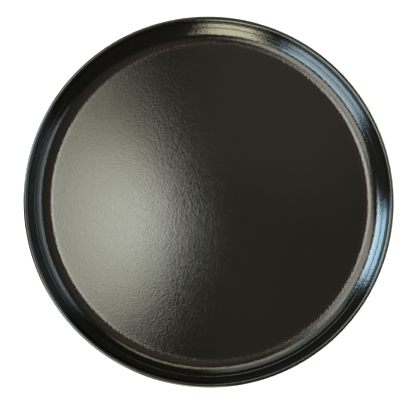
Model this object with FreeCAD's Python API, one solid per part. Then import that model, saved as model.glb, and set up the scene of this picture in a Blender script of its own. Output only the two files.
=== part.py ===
import FreeCAD, Part
import math
import os

# A shallow round pan, pressed from one steel sheet. Its flat floor turns up through a wide
# corner into a flared wall with a pressed crease, and its edge is rolled outward over a
# stiffening wire.
# Millimetres, +Z up. The origin is the centre of the underside, where the pan rests.

# Driving dimensions
rim_diameter = 356.0  # across the rolled rim
overall_height = 18.0  # from the underside to the crest of the rim
sheet = 0.8  # thickness of the steel sheet
wire_diameter = 3.0  # stiffening wire inside the rolled rim
wire_clearance = 0.05  # between the wire and the sheet rolled over it
wire_gap = 1.2  # between the wire's two cut ends
corner_radius = 19.0  # between floor and wall, on the pan's inside
wall_slope = 51.0  # degrees from horizontal, above and below the crease
neck_radius = 5.0  # where the wall turns upright below the rim, on the inside
crease_r = 169.5  # from the pan's axis to the middle of the crease
crease_swing = 22.0  # degrees that the wall swings each way through the crease
crease_shoulder = 1.1  # radius of the crease's two shoulders, on the inside
crease_root = 0.4  # radius at the bottom of the crease, on the inside
curl_turn = 305.0  # degrees of the roll, from the inside of the neck to the cut edge

# Worked out from them
bead_radius = wire_diameter / 2 + wire_clearance + sheet
bead_centre_r = rim_diameter / 2 - bead_radius
bead_centre_z = overall_height - bead_radius
neck_r = bead_centre_r - bead_radius
slope = math.radians(wall_slope)
swing = math.radians(crease_swing)
crease_width = 2 * (crease_shoulder + crease_root) * math.sin(swing)
corner_rise = corner_radius * (1 - math.cos(slope))
neck_rise = neck_radius * math.cos(slope)
wall_top_r = neck_r - neck_radius * (1 - math.sin(slope))
wall_rise = bead_centre_z - sheet - corner_rise - neck_rise
wall_length = wall_rise / math.sin(slope)
wall_foot_r = wall_top_r - wall_length * math.cos(slope)
above_crease = (wall_top_r - crease_r) / math.cos(slope) - crease_width / 2
below_crease = (crease_r - wall_foot_r) / math.cos(slope) - crease_width / 2
floor_radius = wall_foot_r - corner_radius * math.sin(slope)

origin = FreeCAD.Vector(0, 0, 0)
up = FreeCAD.Vector(0, 0, 1)


def line(length):
    """A straight stretch of the sheet's section."""
    return length, 0.0, 0.0


def arc(radius, degrees):
    """A bend of the section. Positive degrees turn up and inward, negative ones outward."""
    return abs(math.radians(degrees)) * radius, radius, math.radians(degrees)


def section_moves():
    """The pan face of the sheet, from the centre of the floor to the cut edge of the curl."""
    crease = [
        arc(crease_shoulder, -crease_swing),
        arc(crease_root, 2 * crease_swing),
        arc(crease_shoulder, -crease_swing),
    ]
    wall = [line(below_crease), *crease, line(above_crease)]
    corner = arc(corner_radius, wall_slope)
    neck = arc(neck_radius, 90 - wall_slope)
    roll = [arc(bead_radius, -90)] * 3
    last_of_roll = arc(bead_radius, 270 - curl_turn)
    return [line(floor_radius), corner, *wall, neck, *roll, last_of_roll]


def advance(state, move, share):
    """Where a walk along the section stands after a share of one move."""
    r, z, heading = state
    length, radius, turn = move
    if turn == 0:
        step = length * share
        return r + step * math.cos(heading), z + step * math.sin(heading), heading
    bend = math.copysign(radius, turn)
    new_heading = heading + turn * share
    r += bend * (math.sin(new_heading) - math.sin(heading))
    z += bend * (math.cos(heading) - math.cos(new_heading))
    return r, z, new_heading


def beside(state, offset):
    """The point at a distance to the outside of the pan face, in the XZ plane."""
    r, z, heading = state
    return FreeCAD.Vector(r + offset * math.sin(heading), 0, z - offset * math.cos(heading))


def face_edges(offset):
    """Edges of one face of the sheet, offset to the outside of the pan face."""
    state = (0.0, sheet, 0.0)
    edges = []
    for move in section_moves():
        middle = advance(state, move, 0.5)
        end = advance(state, move, 1.0)
        points = [beside(where, offset) for where in (state, middle, end)]
        if move[2] == 0:
            curve = Part.LineSegment(points[0], points[2])
        else:
            curve = Part.Arc(*points)
        edges.append(curve.toShape())
        state = end
    return edges


def end_point(edges, last):
    """The free end of a chain of edges, at its start or at its last edge."""
    if last:
        return edges[-1].valueAt(edges[-1].LastParameter)
    return edges[0].valueAt(edges[0].FirstParameter)


def turned(outline, degrees):
    """The solid that a closed outline in the XZ plane sweeps about the pan's axis."""
    return Part.Face(outline).revolve(origin, up, degrees)


def turned_in_quarters(outline):
    """The full ring that a closed outline sweeps, with its surfaces divided every 90 degrees."""
    first = turned(outline, 90)
    others = [first.copy() for _ in range(3)]
    for count, quarter in enumerate(others, start=1):
        quarter.rotate(origin, up, 90 * count)
    return first.multiFuse(others)


def pan_shell():
    """Floor, corner, creased wall and rolled edge, in one pressed sheet."""
    inside = face_edges(0.0)
    outside = face_edges(sheet)
    cut_edge = Part.LineSegment(end_point(inside, True), end_point(outside, True)).toShape()
    on_axis = Part.LineSegment(end_point(outside, False), end_point(inside, False)).toShape()
    outline = Part.Wire(Part.__sortEdges__([*inside, cut_edge, *outside, on_axis]))
    return turned_in_quarters(outline)


def rim_wire():
    """Round wire bent to a ring inside the curl, with its two cut ends facing each other."""
    centre = FreeCAD.Vector(bead_centre_r, 0, bead_centre_z)
    circle = Part.Circle(centre, FreeCAD.Vector(0, 1, 0), wire_diameter / 2)
    gap_degrees = math.degrees(wire_gap / bead_centre_r)
    ring = turned(Part.Wire(circle.toShape()), 360 - gap_degrees)
    behind = 90 + gap_degrees / 2
    ring.rotate(origin, up, behind)
    return ring


def as_solid(shape):
    """The shape as one valid closed solid that faces outward."""
    solid = Part.makeSolid(shape.Shells[0])
    if solid.Volume < 0:
        solid.reverse()
    if not solid.isValid():
        raise ValueError("a sub-part isn't a valid solid")
    return solid


def main():
    os.makedirs("parts", exist_ok=True)
    nodes = {"pan_shell": pan_shell(), "rim_wire": rim_wire()}
    for name, shape in nodes.items():
        solid = as_solid(shape)
        solid.exportStep(f"parts/{name}.step")
        print(f"{name}: {solid.Volume:.1f} mm3")
    print(f"floor radius {floor_radius:.2f}, wall {below_crease:.2f} + {above_crease:.2f}")


main()
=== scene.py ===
import math

import bpy
from mathutils import Matrix, Vector


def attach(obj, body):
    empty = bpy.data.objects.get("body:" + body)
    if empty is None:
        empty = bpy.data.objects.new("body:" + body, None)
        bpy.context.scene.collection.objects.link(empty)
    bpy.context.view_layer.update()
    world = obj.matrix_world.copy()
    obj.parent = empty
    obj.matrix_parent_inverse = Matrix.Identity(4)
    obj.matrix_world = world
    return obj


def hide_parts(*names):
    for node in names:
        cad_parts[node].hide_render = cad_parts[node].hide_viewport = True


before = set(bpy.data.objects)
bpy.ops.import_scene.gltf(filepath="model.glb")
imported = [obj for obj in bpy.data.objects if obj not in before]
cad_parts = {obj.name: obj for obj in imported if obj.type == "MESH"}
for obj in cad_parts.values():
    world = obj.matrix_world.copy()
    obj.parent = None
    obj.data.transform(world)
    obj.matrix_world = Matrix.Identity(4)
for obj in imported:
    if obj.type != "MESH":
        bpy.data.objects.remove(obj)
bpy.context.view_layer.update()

# ---------------------------------------------------------------- dimensions, in metres
# The same section as the CAD part, walked in short steps.
RIM_DIAMETER = 0.356
OVERALL_HEIGHT = 0.018
SHEET = 0.0008
WIRE_DIAMETER = 0.003
WIRE_CLEARANCE = 0.00005
CORNER_RADIUS = 0.019
WALL_SLOPE = math.radians(51.0)
NECK_RADIUS = 0.005
CREASE_R = 0.1695
CREASE_SWING = math.radians(22.0)
CREASE_SHOULDER = 0.0011
CREASE_ROOT = 0.0004
CURL_TURN = math.radians(305.0)

BEAD_RADIUS = WIRE_DIAMETER / 2 + WIRE_CLEARANCE + SHEET
BEAD_R = RIM_DIAMETER / 2 - BEAD_RADIUS
BEAD_Z = OVERALL_HEIGHT - BEAD_RADIUS
NECK_R = BEAD_R - BEAD_RADIUS
CREASE_WIDTH = 2 * (CREASE_SHOULDER + CREASE_ROOT) * math.sin(CREASE_SWING)
CORNER_RISE = CORNER_RADIUS * (1 - math.cos(WALL_SLOPE))
NECK_RISE = NECK_RADIUS * math.cos(WALL_SLOPE)
WALL_TOP_R = NECK_R - NECK_RADIUS * (1 - math.sin(WALL_SLOPE))
WALL_RISE = BEAD_Z - SHEET - CORNER_RISE - NECK_RISE
WALL_FOOT_R = WALL_TOP_R - WALL_RISE / math.tan(WALL_SLOPE)
ABOVE_CREASE = (WALL_TOP_R - CREASE_R) / math.cos(WALL_SLOPE) - CREASE_WIDTH / 2
BELOW_CREASE = (CREASE_R - WALL_FOOT_R) / math.cos(WALL_SLOPE) - CREASE_WIDTH / 2
FLOOR_RADIUS = WALL_FOOT_R - CORNER_RADIUS * math.sin(WALL_SLOPE)
SEGMENTS = 512

# ---------------------------------------------------------------- studio
# Places are in metres, the lens and sensor in millimetres. The last three are a grey and the room's light.
STUDIO_FLOOR_HALF = 1.6
STUDIO_FLOOR_DROP = 0.00002
LIGHT_DISTANCE = 3.0
EYE = Vector((-0.040, -0.022, BEAD_Z + 0.463))
LOOK_AT = Vector((-0.00376, -0.00934, BEAD_Z))
LENS = 41.60
SENSOR = 36.0
BACKDROP = 0.93
ROOM_TINT = (0.60, 0.95, 1.0)
ROOM_LIGHT = 0.03

# ---------------------------------------------------------------- surfaces
# Radii, heights and bump depths are in metres. A scale is the number of noise cells in a metre.
RING_REACH = 0.004
RING_FADES = 0.005
RING_ENDS = 0.010
WEAR_STARTS = 0.1771
WEAR_FULL = 0.1778
WEAR_WANDER = 0.0004
SCUFF_STARTS = 0.0005
SCUFF_FULL = 0.0002
GRAIN_SCALE = 620.0
GRAIN_DEPTH = 0.000105
CLOUD_DEPTH = 0.0002
STREAK_DEPTH = 0.00002
DUST_SCALE = 75.0
SMOOTHEST = 0.095
ROUGHEST = 0.115


# ---------------------------------------------------------------- the pressed sheet
def section_moves():
    """Stretches of the pan face: (radius or 0 if straight, turn or length, steps)."""
    quarter = math.pi / 2
    return [
        (0, FLOOR_RADIUS, 24),
        (CORNER_RADIUS, WALL_SLOPE, 20),
        (0, BELOW_CREASE, 4),
        (CREASE_SHOULDER, -CREASE_SWING, 4),
        (CREASE_ROOT, 2 * CREASE_SWING, 5),
        (CREASE_SHOULDER, -CREASE_SWING, 4),
        (0, ABOVE_CREASE, 4),
        (NECK_RADIUS, quarter - WALL_SLOPE, 10),
        (BEAD_RADIUS, -quarter, 10),
        (BEAD_RADIUS, -quarter, 10),
        (BEAD_RADIUS, -quarter, 7),
        (BEAD_RADIUS, 3 * quarter - CURL_TURN, 3),
    ]


def walk():
    """Points of the pan face with the section's heading at each."""
    r, z, heading = 0.0, SHEET, 0.0
    states = [(r, z, heading)]
    for radius, amount, steps in section_moves():
        for _ in range(steps):
            if radius == 0:
                r += amount / steps * math.cos(heading)
                z += amount / steps * math.sin(heading)
            else:
                bend = math.copysign(radius, amount)
                ahead = heading + amount / steps
                r += bend * (math.sin(ahead) - math.sin(heading))
                z += bend * (math.cos(heading) - math.cos(ahead))
                heading = ahead
            states.append((r, z, heading))
    return states


def outline():
    """The whole section, from the middle of the pan face round to the middle of the underside."""
    states = walk()
    inside = [(r, z) for r, z, _ in states]
    back = [(r + SHEET * math.sin(a), z - SHEET * math.cos(a)) for r, z, a in states]
    return inside + back[::-1]


def revolve(name, points):
    """A closed smooth surface of revolution. The first and last points lie on the axis."""
    rings = points[1:-1]
    verts = [(0.0, 0.0, points[0][1])]
    for r, z in rings:
        for k in range(SEGMENTS):
            angle = 2 * math.pi * k / SEGMENTS
            verts.append((r * math.cos(angle), r * math.sin(angle), z))
    verts.append((0.0, 0.0, points[-1][1]))
    last = len(verts) - 1
    faces = []
    for k in range(SEGMENTS):
        after = (k + 1) % SEGMENTS
        faces.append((0, 1 + k, 1 + after))
        for ring in range(len(rings) - 1):
            low = 1 + ring * SEGMENTS
            high = low + SEGMENTS
            faces.append((low + k, high + k, high + after, low + after))
        top = 1 + (len(rings) - 1) * SEGMENTS
        faces.append((top + k, last, top + after))
    mesh = bpy.data.meshes.new(name)
    mesh.from_pydata(verts, [], faces)
    mesh.validate()
    mesh.shade_smooth()
    obj = bpy.data.objects.new(name, mesh)
    bpy.context.scene.collection.objects.link(obj)
    return obj


# ---------------------------------------------------------------- material helpers
class Nodes:
    """Short calls for building one material's node tree."""

    def __init__(self, name):
        self.material = bpy.data.materials.new(name)
        self.material.use_nodes = True
        self.tree = self.material.node_tree
        self.shader = self.tree.nodes["Principled BSDF"]

    def add(self, kind, **settings):
        node = self.tree.nodes.new(kind)
        for key, value in settings.items():
            setattr(node, key, value)
        return node

    def feed(self, socket, value):
        if isinstance(value, bpy.types.NodeSocket):
            self.tree.links.new(value, socket)
        else:
            socket.default_value = value

    def math(self, operation, a, b, clamp=False):
        node = self.add("ShaderNodeMath", operation=operation, use_clamp=clamp)
        self.feed(node.inputs[0], a)
        self.feed(node.inputs[1], b)
        return node.outputs[0]

    def noise(self, vector, scale, detail=2.0, rough=0.5):
        node = self.add("ShaderNodeTexNoise")
        self.feed(node.inputs["Vector"], vector)
        node.inputs["Scale"].default_value = scale
        node.inputs["Detail"].default_value = detail
        node.inputs["Roughness"].default_value = rough
        return node.outputs["Fac"]

    def span(self, value, low, high, to_low=0.0, to_high=1.0):
        node = self.add("ShaderNodeMapRange", interpolation_type="SMOOTHSTEP")
        self.feed(node.inputs["Value"], value)
        node.inputs["From Min"].default_value = low
        node.inputs["From Max"].default_value = high
        node.inputs["To Min"].default_value = to_low
        node.inputs["To Max"].default_value = to_high
        return node.outputs["Result"]

    def mix(self, factor, a, b):
        """A blend of two colours. Inputs 6 and 7 and output 2 are the node's colour sockets."""
        node = self.add("ShaderNodeMix", data_type="RGBA")
        self.feed(node.inputs["Factor"], factor)
        self.feed(node.inputs[6], a)
        self.feed(node.inputs[7], b)
        return node.outputs[2]

    def bump(self, height, distance, normal=None):
        node = self.add("ShaderNodeBump")
        self.feed(node.inputs["Height"], height)
        node.inputs["Distance"].default_value = distance
        node.inputs["Strength"].default_value = 1.0
        if normal is not None:
            self.feed(node.inputs["Normal"], normal)
        return node.outputs["Normal"]


def rgb(r, g, b):
    return (r, g, b, 1.0)


def object_position(n):
    return n.add("ShaderNodeTexCoord").outputs["Object"]


def place(n):
    """Object position, distance from the pan's axis, and height."""
    position = object_position(n)
    split = n.add("ShaderNodeSeparateXYZ")
    n.feed(split.inputs[0], position)
    flat = n.add("ShaderNodeCombineXYZ")
    n.feed(flat.inputs[0], split.outputs[0])
    n.feed(flat.inputs[1], split.outputs[1])
    length = n.add("ShaderNodeVectorMath", operation="LENGTH")
    n.feed(length.inputs[0], flat.outputs[0])
    return position, length.outputs["Value"], split.outputs[2]


# ---------------------------------------------------------------- the baked coating
def enamel():
    n = Nodes("dark_enamel")
    position, radius, height = place(n)
    cloud = n.noise(position, scale=14.0, detail=3.0)
    grain = n.noise(position, scale=GRAIN_SCALE, detail=2.0, rough=0.6)

    brown_black = rgb(0.0042, 0.0034, 0.0026)
    deep_black = rgb(0.0030, 0.0026, 0.0020)
    base = n.mix(cloud, brown_black, deep_black)

    # painted reflection: a faint brown ring where the floor turns up into the corner, standing in for the
    # reddish band the corner reflects
    edge = n.span(radius, FLOOR_RADIUS - RING_REACH, FLOOR_RADIUS + RING_REACH)
    past = n.span(radius, FLOOR_RADIUS + RING_FADES, FLOOR_RADIUS + RING_ENDS)
    ring = n.math("SUBTRACT", edge, past, clamp=True)
    painted_reflection_brown = rgb(0.0065, 0.0036, 0.0028)
    # the ring mask mixes in the painted reflection colour at the corner
    base = n.mix(ring, base, painted_reflection_brown)

    # the coating is rubbed through to brown steel round the outside of the rolled edge
    patch = n.noise(position, scale=55.0, detail=4.0, rough=0.6)
    reach = n.span(patch, 0.35, 0.65, to_low=-WEAR_WANDER, to_high=WEAR_WANDER)
    worn = n.span(n.math("ADD", radius, reach), WEAR_STARTS, WEAR_FULL)
    brown_steel = rgb(0.13, 0.065, 0.032)
    base = n.mix(worn, base, brown_steel)

    # the underside is scuffed from being slid about
    under = n.span(height, SCUFF_STARTS, SCUFF_FULL)
    scuff = n.span(n.noise(position, scale=180.0, detail=6.0, rough=0.7), 0.52, 0.72)
    scuffed = rgb(0.075, 0.068, 0.060)
    base = n.mix(n.math("MULTIPLY", under, scuff), base, scuffed)

    # a few specks of dust
    cell = n.add("ShaderNodeTexVoronoi")
    n.feed(cell.inputs["Vector"], position)
    cell.inputs["Scale"].default_value = DUST_SCALE
    near = n.span(cell.outputs["Distance"], 0.030, 0.018)
    pick = n.add("ShaderNodeSeparateColor")
    n.feed(pick.inputs[0], cell.outputs["Color"])
    speck = n.math("MULTIPLY", near, n.span(pick.outputs[0], 0.955, 0.96))
    dust = rgb(0.20, 0.185, 0.15)
    base = n.mix(speck, base, dust)

    shader = n.shader
    n.feed(shader.inputs["Base Color"], base)
    rough = n.span(cloud, 0.3, 0.7, to_low=SMOOTHEST, to_high=ROUGHEST)
    rough = n.math("ADD", rough, n.math("MULTIPLY", worn, 0.2))
    n.feed(shader.inputs["Roughness"], n.math("ADD", rough, n.math("MULTIPLY", speck, 0.5)))
    shader.inputs["IOR"].default_value = 1.5
    fine = n.bump(grain, GRAIN_DEPTH)
    n.feed(shader.inputs["Normal"], n.bump(cloud, CLOUD_DEPTH, normal=fine))
    return n.material


def wire_steel():
    n = Nodes("bare_wire")
    position = object_position(n)
    streak = n.noise(position, scale=400.0, detail=5.0, rough=0.65)
    stain = n.noise(position, scale=60.0, detail=3.0)
    dull_steel = rgb(0.30, 0.29, 0.28)
    bright_steel = rgb(0.47, 0.46, 0.45)
    base = n.mix(streak, dull_steel, bright_steel)
    rust = rgb(0.22, 0.13, 0.08)
    base = n.mix(n.span(stain, 0.55, 0.75), base, rust)
    n.feed(n.shader.inputs["Base Color"], base)
    n.shader.inputs["Metallic"].default_value = 1.0
    n.feed(n.shader.inputs["Roughness"], n.span(streak, 0.3, 0.7, to_low=0.30, to_high=0.48))
    n.feed(n.shader.inputs["Normal"], n.bump(streak, STREAK_DEPTH))
    return n.material


def floor_card():
    n = Nodes("pale_floor")
    position = object_position(n)
    tone = n.noise(position, scale=3.0)
    card = rgb(0.90, 0.90, 0.90)
    paler = rgb(0.93, 0.93, 0.93)
    n.feed(n.shader.inputs["Base Color"], n.mix(tone, card, paler))
    n.shader.inputs["Roughness"].default_value = 0.9
    n.shader.inputs["Specular IOR Level"].default_value = 0.0
    return n.material


# ---------------------------------------------------------------- pieces
shell = revolve("pan_sheet", outline())
shell.data.materials.append(enamel())
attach(shell, "root")
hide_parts("pan_shell")

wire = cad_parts["rim_wire"]
wire.data.materials.clear()
wire.data.materials.append(wire_steel())


# ---------------------------------------------------------------- floor, light and camera
def make_floor():
    half = STUDIO_FLOOR_HALF
    corners = [(-half, -half, 0), (half, -half, 0), (half, half, 0), (-half, half, 0)]
    mesh = bpy.data.meshes.new("floor")
    mesh.from_pydata(corners, [], [(0, 1, 2, 3)])
    floor = bpy.data.objects.new("floor", mesh)
    floor.location.z = -STUDIO_FLOOR_DROP
    bpy.context.scene.collection.objects.link(floor)
    floor.data.materials.append(floor_card())


def panel(name, shape, azimuth, zenith, wide, tall, radiance, colour):
    """A soft panel facing the pan. Angles are in degrees as the pan sees them."""
    a, t = math.radians(azimuth), math.radians(zenith)
    toward = Vector((math.sin(t) * math.cos(a), math.sin(t) * math.sin(a), math.cos(t)))
    width = 2 * LIGHT_DISTANCE * math.tan(math.radians(wide) / 2)
    height = 2 * LIGHT_DISTANCE * math.tan(math.radians(tall) / 2)
    data = bpy.data.lights.new(name, "AREA")
    data.shape = shape
    data.size, data.size_y = width, height
    data.color = colour
    area = width * height
    if shape == ROUND:
        area *= math.pi / 4
    data.energy = radiance * math.pi * area
    light = bpy.data.objects.new(name, data)
    light.location = toward * LIGHT_DISTANCE
    light.rotation_euler = toward.to_track_quat("Z", "Y").to_euler()
    light.visible_camera = False
    bpy.context.scene.collection.objects.link(light)


ROUND = "ELLIPSE"
SQUARE = "RECTANGLE"

# name, shape, azimuth, zenith, width, height (degrees), radiance, colour
PANELS = [
    ("softbox_core", ROUND, 182, 10.0, 25, 19, 5.2, (0.97, 1.00, 0.86)),
    ("softbox_hot", ROUND, 180, 6.0, 13, 11, 3.6, (0.97, 1.00, 0.96)),
    ("softbox_surround", ROUND, 180, 10.5, 40, 20, 2.2, (1.00, 0.94, 0.72)),
    ("softbox_side_below", SQUARE, 230, 33, 40, 22, 6.0, (1.00, 0.99, 0.88)),
    ("softbox_side_above", SQUARE, 144, 33, 26, 24, 5.0, (1.00, 0.98, 0.86)),
    ("window_left", SQUARE, 161, 75, 25, 15, 18.0, (0.52, 0.80, 1.00)),
    ("window_left_top", SQUARE, 162, 62, 27, 12, 20.0, (0.66, 0.88, 1.00)),
    ("window_lower", SQUARE, 228, 74, 36, 17, 9.0, (0.60, 0.85, 1.00)),
    ("window_lower_top", SQUARE, 228, 60, 36, 12, 12.0, (0.70, 0.92, 1.00)),
    ("warm_panel_below", SQUARE, 268, 67, 18, 32, 12.0, (1.00, 0.95, 0.66)),
    ("warm_panel_above", SQUARE, 84, 44, 44, 10, 4.0, (1.00, 0.94, 0.60)),
    ("fill_above", SQUARE, 112, 60, 46, 20, 1.6, (0.92, 1.00, 0.95)),
    ("fill_above_top", SQUARE, 118, 43, 46, 14, 1.6, (0.96, 1.00, 0.86)),
    ("sky_right", SQUARE, 8, 75, 54, 16, 1.3, (0.72, 0.92, 1.00)),
    ("sky_right_top", SQUARE, 6, 60, 52, 14, 3.4, (0.78, 0.94, 1.00)),
    ("ceiling_right", SQUARE, 0, 24, 60, 42, 0.22, (1.00, 0.92, 0.68)),
    ("ceiling_top", SQUARE, 75, 18, 40, 20, 0.20, (1.00, 0.90, 0.62)),
]


def make_world():
    """A dim, bluish room that lights the pan. The camera itself sees a pale backdrop."""
    world = bpy.data.worlds.new("studio")
    bpy.context.scene.world = world
    world.use_nodes = True
    tree = world.node_tree
    room = tree.nodes["Background"]
    room.inputs["Color"].default_value = rgb(*ROOM_TINT)
    room.inputs["Strength"].default_value = ROOM_LIGHT
    seen = tree.nodes.new("ShaderNodeBackground")
    seen.inputs["Color"].default_value = rgb(BACKDROP, BACKDROP, BACKDROP)
    seen.inputs["Strength"].default_value = 1.0
    path = tree.nodes.new("ShaderNodeLightPath")
    mix = tree.nodes.new("ShaderNodeMixShader")
    tree.links.new(path.outputs["Is Camera Ray"], mix.inputs[0])
    tree.links.new(room.outputs[0], mix.inputs[1])
    tree.links.new(seen.outputs[0], mix.inputs[2])
    tree.links.new(mix.outputs[0], tree.nodes["World Output"].inputs[0])


def make_camera():
    ahead = (LOOK_AT - EYE).normalized()
    right = ahead.cross(Vector((0, 1, 0))).normalized()
    up = right.cross(ahead)
    data = bpy.data.cameras.new("camera")
    data.sensor_width = SENSOR
    data.lens = LENS
    camera = bpy.data.objects.new("camera", data)
    turn = Matrix((right, up, -ahead)).transposed().to_4x4()
    camera.matrix_world = Matrix.Translation(EYE) @ turn
    bpy.context.scene.collection.objects.link(camera)
    bpy.context.scene.camera = camera


make_floor()
for settings in PANELS:
    panel(*settings)
make_world()
make_camera()
bpy.context.scene.view_settings.view_transform = "Standard"
